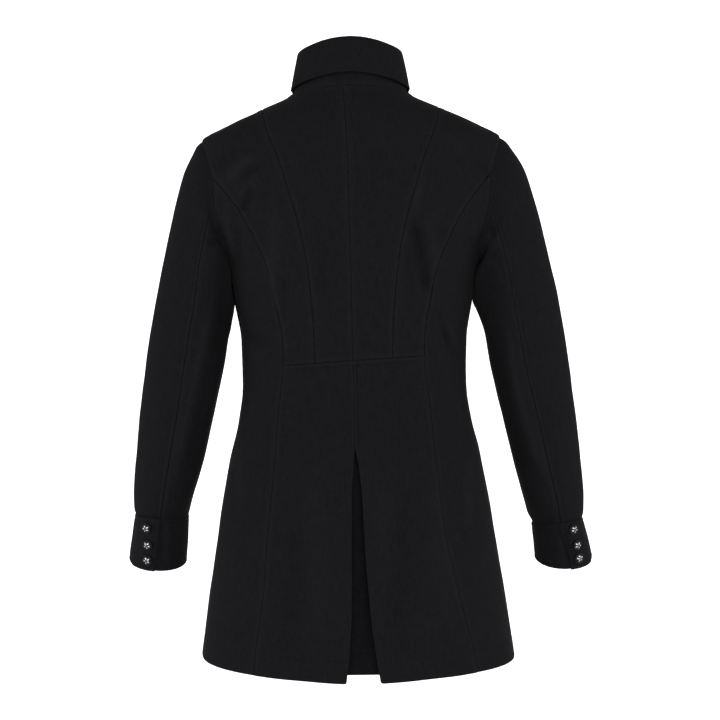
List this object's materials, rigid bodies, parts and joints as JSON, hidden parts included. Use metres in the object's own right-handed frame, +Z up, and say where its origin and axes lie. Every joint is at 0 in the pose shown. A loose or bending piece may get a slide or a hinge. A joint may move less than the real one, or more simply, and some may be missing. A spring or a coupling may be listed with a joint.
{
  "type": "admiral coat",
  "caption": "Long-sleeved fitted coat, filled out as worn, with princess seams, a stand-and-fall collar, a back pleat in a flared skirt and buttoned cuffs.",
  "frame": {"origin": "middle of the neck base, where the wearer's shoulders carry the coat", "axes": "+Z up, +Y the way the back faces, +X the wearer's left"},
  "size_m": [0.6675, 0.3252, 0.8543],
  "materials": {
    "coat_cloth": "matte felted wool",
    "button_metal": "dark gunmetal, glossy"
  },
  "bodies": {
    "root": {"back_centre_left": "coat_cloth", "back_centre_right": "coat_cloth", "back_mid_left": "coat_cloth", "back_mid_right": "coat_cloth", "side_panel_left": "coat_cloth", "side_panel_right": "coat_cloth", "skirt_back_left": "coat_cloth", "skirt_back_right": "coat_cloth", "front_left": "coat_cloth", "front_right": "coat_cloth", "sleeve_upper_left": "coat_cloth", "sleeve_upper_right": "coat_cloth", "sleeve_under_left": "coat_cloth", "sleeve_under_right": "coat_cloth", "cuff_left": "coat_cloth", "cuff_right": "coat_cloth", "pleat_underlay": "coat_cloth", "collar_stand": "coat_cloth", "collar_fall": "coat_cloth", "cuff_button_left_1": "button_metal", "cuff_button_left_2": "button_metal", "cuff_button_left_3": "button_metal", "cuff_button_right_1": "button_metal", "cuff_button_right_2": "button_metal", "cuff_button_right_3": "button_metal", "front_button_outer_1": "button_metal", "front_button_outer_2": "button_metal", "front_button_outer_3": "button_metal", "front_button_outer_4": "button_metal", "front_button_inner_1": "button_metal", "front_button_inner_2": "button_metal", "front_button_inner_3": "button_metal", "front_button_inner_4": "button_metal"}
  },
  "joints": []
}
